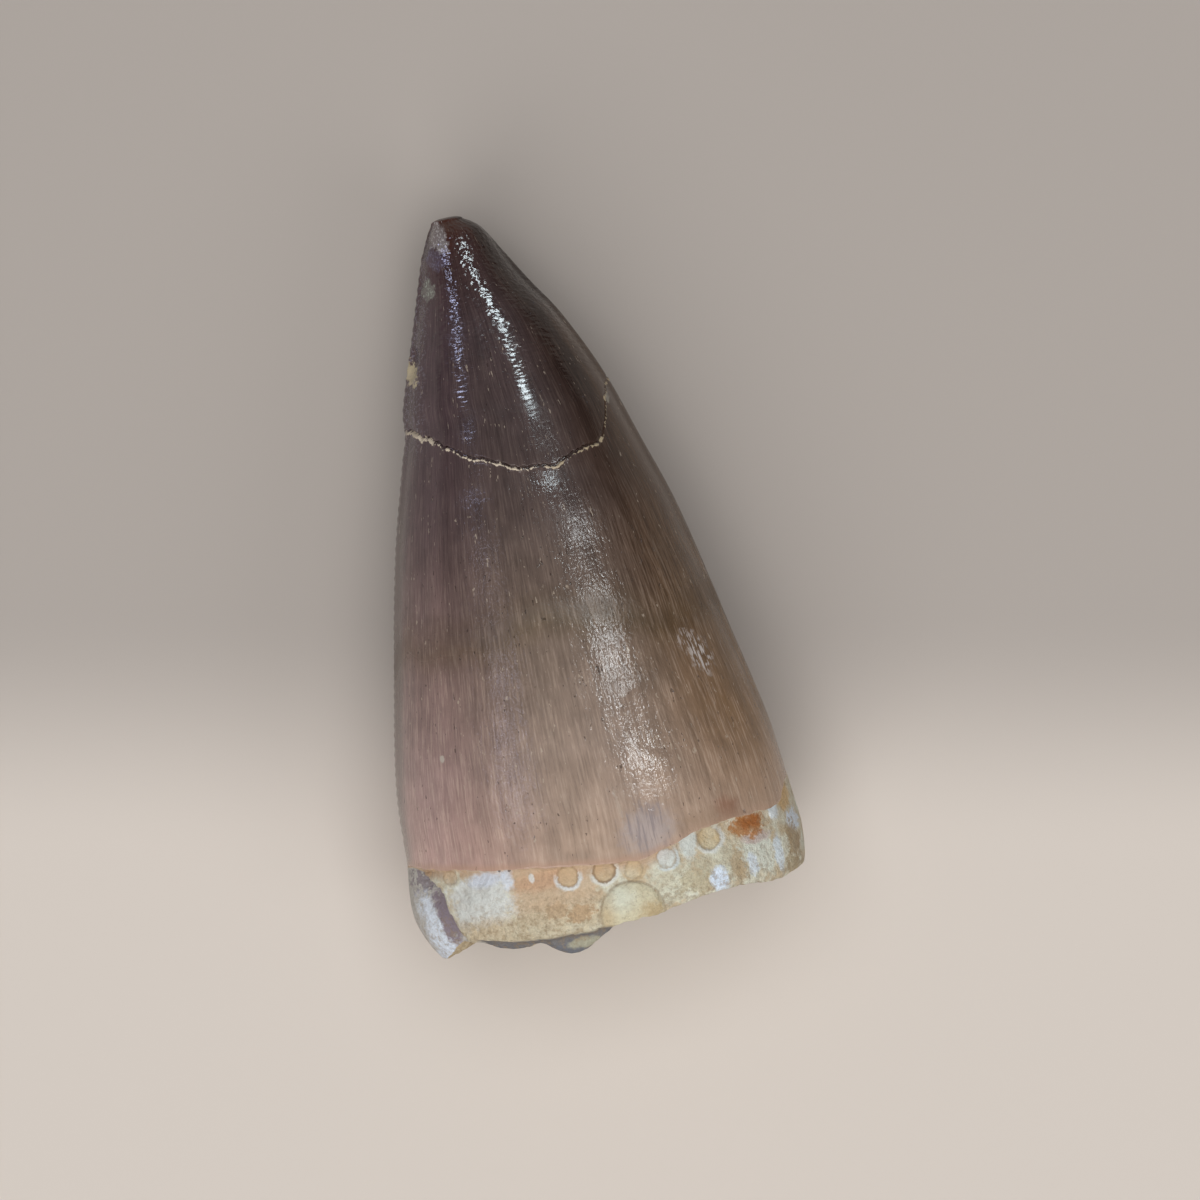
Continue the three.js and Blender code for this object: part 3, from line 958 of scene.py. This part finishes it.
rootLook = {
    "cream": (206, 199, 177),
    "tan": (184, 162, 130),
    "stain": (178, 138, 106),
    "spur": (182, 172, 160),
    "dirt": (132, 112, 88),
    "sand": (170, 140, 104),
    "lip": (110, 103, 98),
    "lipRim": (100, 98, 100),
    "outline": (128, 96, 62),
    "domeFill": (206, 192, 158),
    "bleach": (1.09, 1.19, 1.31),  # the stone is paler and bluer than its spots' colours
    "discStrength": 0.48,
    # painted highlight on each shell's lit side
    "litRimStrength": 0.75,
    "dirtSpecks": {"perMm": 2.6, "level": 0.63},
    "roughness": (0.5, 0.8),
    "bump": 0.22,  # mm
    "plateSpots": [
        spot((-4.7, -25.9), (3.6, 2.4), (190, 160, 128), 0.85, corners=5, soft=0.15),
        spot((-5.3, -24.6), (3.1, 0.8), (188, 144, 110), 0.7, soft=0.5),
        spot((-6, -28.4), (7, 1.4), (186, 168, 138), 0.75, corners=4, soft=0.4),
        spot((-10.75, -25.2), (2.5, 2.1), (203, 199, 190), 0.85, corners=4, ragged=1.6),
        spot((-11, -27.6), (2.4, 0.9), (184, 160, 128), 0.6, ragged=3, soft=0.6),
        spot((-10.1, -23.55), (1.4, 0.6), (203, 203, 210), 0.7, soft=0.5),
        spot((-8.35, -23.85), (0.5, 0.8), (206, 207, 211), 0.75, soft=0.45),
        spot((-6.34, -24.2), (0.25, 0.42), (212, 206, 196), 0.8),
        spot((-8.8, -23.05), (0.11, 0.13), (72, 56, 50), 0.8),
        spot((-8, -23.2), (0.13, 0.11), (72, 56, 50), 0.8),
        spot((-2.85, -27.8), (1.1, 0.7), (168, 128, 88), 0.6, ragged=3),
        spot((-4.8, -27.3), (1, 0.6), (172, 134, 96), 0.5, ragged=3),
        spot((5.1, -27.1), (1.7, 1.6), (197, 189, 164), 0.7, ragged=3),
        spot((7.3, -27.3), (1.9, 1), (182, 166, 134), 0.75, ragged=3),
        spot((6.9, -23.9), (0.75, 1.5), (202, 202, 192), 0.8),
        spot((9.9, -25.9), (2.6, 1.2), (190, 180, 154), 0.6, ragged=3),
        spot((10.9, -26.5), (0.7, 1.5), (172, 144, 108), 0.7, ragged=2),
        spot((12.7, -26), (1.5, 1.6), (207, 205, 188), 0.8, ragged=2.4),
        spot((8.95, -27.5), (0.75, 1.05), (208, 212, 218), 0.95),
        spot((11.9, -26.9), (0.42, 0.95), (207, 209, 210), 0.85, ragged=2),
        spot((14.2, -26.4), (0.4, 1.5), (204, 207, 207), 0.85, ragged=1.6),
        spot((12.5, -24.7), (1.2, 0.55), (180, 154, 144), 0.75),
        spot((12.05, -23.6), (1.3, 1), (164, 108, 56), 0.9, ragged=2.6),
        spot((12.3, -23.35), (0.9, 0.6), (148, 82, 26), 0.85, ragged=3, soft=0.6),
        spot((15.4, -21.8), (0.6, 1.3), (190, 150, 98), 0.85),
        spot((15.85, -24), (0.5, 0.95), (205, 210, 216), 0.8, ragged=2),
        spot((15.6, -25.6), (0.5, 1.4), (150, 122, 86), 0.8, ragged=3),
        spot((15.2, -27.6), (0.7, 0.8), (158, 134, 98), 0.75, ragged=3),
        spot((14, -22.2), (0.55, 0.3), (112, 80, 64), 0.75, ragged=2),
        spot((14.4, -22.9), (0.42, 0.66), (216, 216, 212), 0.95, ragged=1.5),
    ],
    "domeSpots": [
        spot((0.3, -27.4), (1.4, 1), (208, 206, 186), 0.6, soft=0.6),
        spot((3.1, -28.9), (1, 0.7), (176, 142, 94), 0.65, turn=20, ragged=2.4, soft=0.8),
        spot((-0.9, -28.6), (0.7, 1.7), (190, 160, 118), 0.6, turn=-8, soft=0.9),
    ],
    "spurSpots": [
        spot((-15.2, -22.7), (0.9, 1.1), (122, 106, 110), 0.75, ragged=6),
        spot((-14.75, -26.9), (0.95, 3.1), (210, 210, 212), turn=12, ragged=2.2, soft=0.4),
        spot((-14, -28.9), (1.2, 0.8), (208, 208, 211), 0.9),
        # painted shade: a purple streak on the sloping wall beside the plate's step
        spot((-13.85, -25.9), (0.72, 2.4), (134, 118, 122), turn=11, corners=3, ragged=1.6, soft=0.3),
    ],
    "lipSpots": [
        spot((-3.1, -30.3), (1.4, 0.4), (168, 158, 130), 0.75, ragged=2),
        spot((-12.9, -28.6), (0.9, 0.5), (190, 172, 146), 0.8),
    ],
}


# The plate that covers most of the root: mottled cream, stained along the enamel, with its spots.
def rootPlate(marks):
    look = rootLook
    base = paint(colour(*look["tan"]), marks.grains["Mottle"], look["cream"])
    stain = ease(readValue("fromEnamel"), 0.2, 1.4, 0.75, 0)
    stain = times(stain, ease(marks.across, 0.2, 0.5, 1, 0.3))
    base = paint(base, stain, look["stain"])
    return paintSpots(base, marks, marks.onFront, look["plateSpots"])


# The masks of a round shell's disc, rim and outline, on the front only.
def shellMasks(marks, wander, at, radius, side):
    shape = {"Centre": (*at, 0), "Radius": radius, "Lit Side": side}
    masks = useGroup("roundShell", {"Place": marks.place, "Wander": wander, **shape})
    return [times(mask, marks.onFront) for mask in masks]


# The swelling at the rim, yellowish inside. Gives the colour and the mask of the swelling.
def rootDome(marks, base):
    wander, radius = times(marks.wander, 0.6), domePlace["radius"] / 0.79
    inDome = shellMasks(marks, wander, domePlace["at"], radius, (0, 0, 0))[0]
    base = paint(base, times(inDome, 0.85), rootLook["domeFill"])
    return paintSpots(base, marks, inDome, rootLook["domeSpots"]), inDome


# The round shells, each with disc, rim painted lighter as a highlight on its lit side, and outline, and
# the thin brown line round the swelling.
def rootRings(marks, base):
    look = rootLook
    for each in rootShells:
        if not each["side"]:
            continue
        disc, rim, line = shellMasks(marks, marks.wander, each["at"], each["radius"], each["side"])
        base = paint(base, times(disc, look["discStrength"]), each["discTone"])
        base = paint(base, times(rim, look["litRimStrength"]), each["litRimTone"])
        base = paint(base, times(line, each["line"]), look["outline"])
    offLine = apart(flatFrom(marks.place, (*domePlace["at"], 0))[1], domePlace["radius"])
    line = times(ease(offLine, 0.03, 0.2, 0.42, 0), marks.onFront, ease(marks.wander, -0.15, 0.1))
    return paint(base, line, look["outline"])


# The deeper layer where the plate has broken away: the spur at the left and the lip below.
def rootBroken(marks, base):
    look, fromPlate = rootLook, readValue("fromPlate")
    broken = ease(fromPlate, 0.02, 0.22)
    onSpur = times(broken, ease(marks.across, -0.79, -0.81))
    onLip = times(broken, ease(marks.across, -0.81, -0.79))
    base = paint(base, onSpur, look["spur"])
    base = paintSpots(base, marks, onSpur, look["spurSpots"])
    lipTone = ease(timesPlus(marks.wander, 1.2, fromPlate), 0.35, 1)
    lip = paint(colour(*look["lip"]), lipTone, look["lipRim"])
    base = mixColours(onLip, base, lip)
    return paintSpots(base, marks, onLip, look["lipSpots"])


def rootFinish():
    look = rootLook
    material, inputs = newFinish("chalky root")
    marks = toothMarks(frontHeight=10, detail=4, roughness=0.7)
    place, station = marks.place, marks.station
    grains = marks.grains = useGroup("stoneGrain", {"Place": place, "Coarse": 0.7, "Fine": 3.2})
    base, inDome = rootDome(marks, rootPlate(marks))
    base = rootBroken(marks, rootRings(marks, base))

    # grains and dirt over everything, thickest near the broken rim
    coarse, fine = centredNoise(place, 1.8, 4, 0.75), centredNoise(place, 6, 2, 0.6)
    offDome = timesPlus(inDome, -0.65, 1)
    warm = times(ease(coarse, 0.02, -0.14), ease(station, 55, 59, 0.1, 0.45))
    base = paint(base, times(warm, offDome), look["sand"])
    grainStrength = times(ease(station, 55.5, 59.5, 0.5, 1.15), offDome)
    shade = timesPlus(timesPlus(fine, 0.5, coarse), grainStrength, 0.99)
    base = mixColours(1, base, greyOf(shade), "MULTIPLY")
    dirt = times(specksOf(place, look["dirtSpecks"]), ease(station, 54, 60, 0.1, 0.35))
    base = stretched(paint(base, dirt, look["dirt"]), look["bleach"])
    rough = ease(grains["Height"], 0.3, 0.7, *look["roughness"])
    fillShader(inputs, base, rough, timesPlus(coarse, 0.7, grains["Height"]), look["bump"])
    return material


endLook = {
    "wall": (196, 180, 150),
    "wallDark": (150, 128, 98),
    "matrix": (190, 176, 150),
    "matrixGrain": (148, 130, 104),
    "pellet": (216, 208, 192),
    "pellets": {"perMm": 1.1, "level": 0.6},
    "layers": 105,  # how close the growth layers of the wall lie
    "layerBend": 22,
    "roughness": 0.8,
    "bump": 0.2,  # mm
}


def endFinish():
    look = endLook
    material, inputs = newFinish("broken end")
    place, inward = placeInMm(), readValue("inward")
    grains = useGroup("stoneGrain", {"Place": place, "Coarse": 0.9, "Fine": 3.6})
    layers = timesPlus(grains["Height"], look["layerBend"], times(inward, look["layers"]))
    layers = ease(calc("SINE", layers), -1, 1, 0.15, 0.6)
    wall = paint(colour(*look["wall"]), layers, look["wallDark"])
    matrix = paint(colour(*look["matrix"]), grains["Mottle"], look["matrixGrain"])
    pellets = specksOf(place, look["pellets"])
    matrix = paint(matrix, pellets, look["pellet"])
    base = mixColours(ease(inward, 0.28, 0.36), wall, matrix)
    height = timesPlus(pellets, 0.6, grains["Height"])
    fillShader(inputs, base, look["roughness"], height, look["bump"])
    return material


def dressTooth():
    tooth = buildTooth()
    for finish in (enamelFinish(), rootFinish(), endFinish()):
        tooth.data.materials.append(finish)
    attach(tooth, "root")
    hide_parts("tooth")
    print("tooth dressed")


floorLook = {
    "size": 3,
    "upper": (175, 168, 163),
    "lower": (212, 204, 197),
    "turn": 12,
    "fade": (-23, -2.5),
    "roughness": 0.9,
    "specular": 0.1,
}


# A plain pale sheet under the tooth, a little lighter towards the root end: a painted falloff of the
# light.
def buildFloor():
    half = floorLook["size"] / 2
    corners = [(-half, -half, 0), (half, -half, 0), (half, half, 0), (-half, half, 0)]
    mesh = bpy.data.meshes.new("floor")
    mesh.from_pydata(corners, [], [(0, 1, 2, 3)])
    floor = addObject("floor", mesh)
    material, inputs = newFinish("pale floor")
    place = placeInMm()
    turn = math.radians(floorLook["turn"])
    up = (math.sin(turn), math.cos(turn), 0)
    share = ease(vectorCalc("DOT_PRODUCT", place, up, "Value"), *floorLook["fade"])
    setInput(inputs["Base Color"], paint(colour(*floorLook["lower"]), share, floorLook["upper"]))
    inputs["Roughness"].default_value = floorLook["roughness"]
    inputs["Specular IOR Level"].default_value = floorLook["specular"]
    mesh.materials.append(material)
    print("floor laid")


# A lamp's panel: whether it makes highlights, lights the bodies or both, the two points that it runs
# between, its width, the brightness of its face and its tint. It faces the tooth.
def panel(lights, start, end, width, glow, tint):
    return {"lights": lights, "start": start, "end": end, "width": width, "glow": glow, "tint": tint}


# The narrow spindles stand beside the tooth and are there for its highlights only, so they light
# nothing else; the wide panel overhead makes no highlight.
lightLook = {
    "sky": (0.95, 0.96, 1),
    "skyStrength": 0.08,
    "panels": {
        "tipStrip": panel("gloss", (0.17, 0.43, 0.55), (0.203, 0.74, 0.33), 0.1, 26, (0.82, 0.95, 1)),
        "rightStrip": panel("gloss", (0.318, 0.11, 0.57), (0.335, 0.33, 0.555), 0.08, 18, (0.92, 0.98, 1)),
        "leftStrip": panel("gloss", (-0.5, 0.51, 0.44), (-0.5, 0.69, 0.24), 0.075, 22, (0.62, 0.68, 1)),
        "leftGlow": panel("gloss", (-0.43, 0.03, 0.56), (-0.43, 0.33, 0.54), 0.06, 5, (0.74, 0.76, 1)),
        "overhead": panel("body", (0, -1.1, 2.3), (0, 1.1, 2.3), 2.2, 2.65, (1, 0.985, 0.96)),
        "softKey": panel("both", (-0.7, -0.45, 0.8), (-0.1, -0.85, 0.8), 0.7, 2.6, (1, 0.98, 0.95)),
        "softFill": panel("both", (0.3, -0.7, 0.7), (0.8, -0.45, 0.7), 0.5, 1.8, (1, 0.98, 0.96)),
    },
}


# Turns a lamp's own Y along a line and its face from a place towards the tooth.
def facing(place, along):
    front = (along * place.dot(along) - place).normalized()
    return Matrix((along.cross(-front), along, -front)).transposed().to_euler()


def buildLights():
    look = lightLook
    world = bpy.data.worlds.new("studio")
    bpy.context.scene.world = world
    world.use_nodes = True
    background = next(node for node in world.node_tree.nodes if node.type == "BACKGROUND")
    background.inputs["Color"].default_value = (*look["sky"], 1)
    background.inputs["Strength"].default_value = look["skyStrength"]
    for name, each in look["panels"].items():
        data = bpy.data.lights.new(name, "AREA")
        forGloss = each["lights"] == "gloss"
        data.shape = "ELLIPSE" if forGloss else "RECTANGLE"
        start, end = Vector(each["start"]), Vector(each["end"])
        data.size, data.size_y = each["width"], (end - start).length
        area = data.size * data.size_y * (math.pi / 4 if forGloss else 1)
        data.energy = each["glow"] * math.pi * area
        data.color = each["tint"]
        lamp = addObject(name, data)
        lamp.location = (start + end) / 2
        lamp.rotation_euler = facing(lamp.location, (end - start).normalized())
        lamp.visible_camera = False
        lamp.visible_diffuse = not forGloss
        lamp.visible_glossy = each["lights"] != "body"
    print("lights set")


cameraLook = {
    "frameWidth": 0.1,  # what the picture's 1200 pixels span at the tooth's edges
    "centre": (0.00402, -0.00284),
    "edgeHeight": 0.011,
    "distance": 2,
    "roll": -12,
}


def buildCamera():
    look = cameraLook
    data = bpy.data.cameras.new("camera")
    data.sensor_width = 36
    data.lens = data.sensor_width * look["distance"] / look["frameWidth"]
    data.clip_end = 20
    camera = addObject("camera", data)
    camera.location = (*look["centre"], look["edgeHeight"] + look["distance"])
    camera.rotation_euler = (0, 0, math.radians(look["roll"]))
    bpy.context.scene.camera = camera
    bpy.context.scene.view_settings.view_transform = "Standard"
    print("camera set")


buildCamera()
buildFloor()
buildLights()
dressTooth()
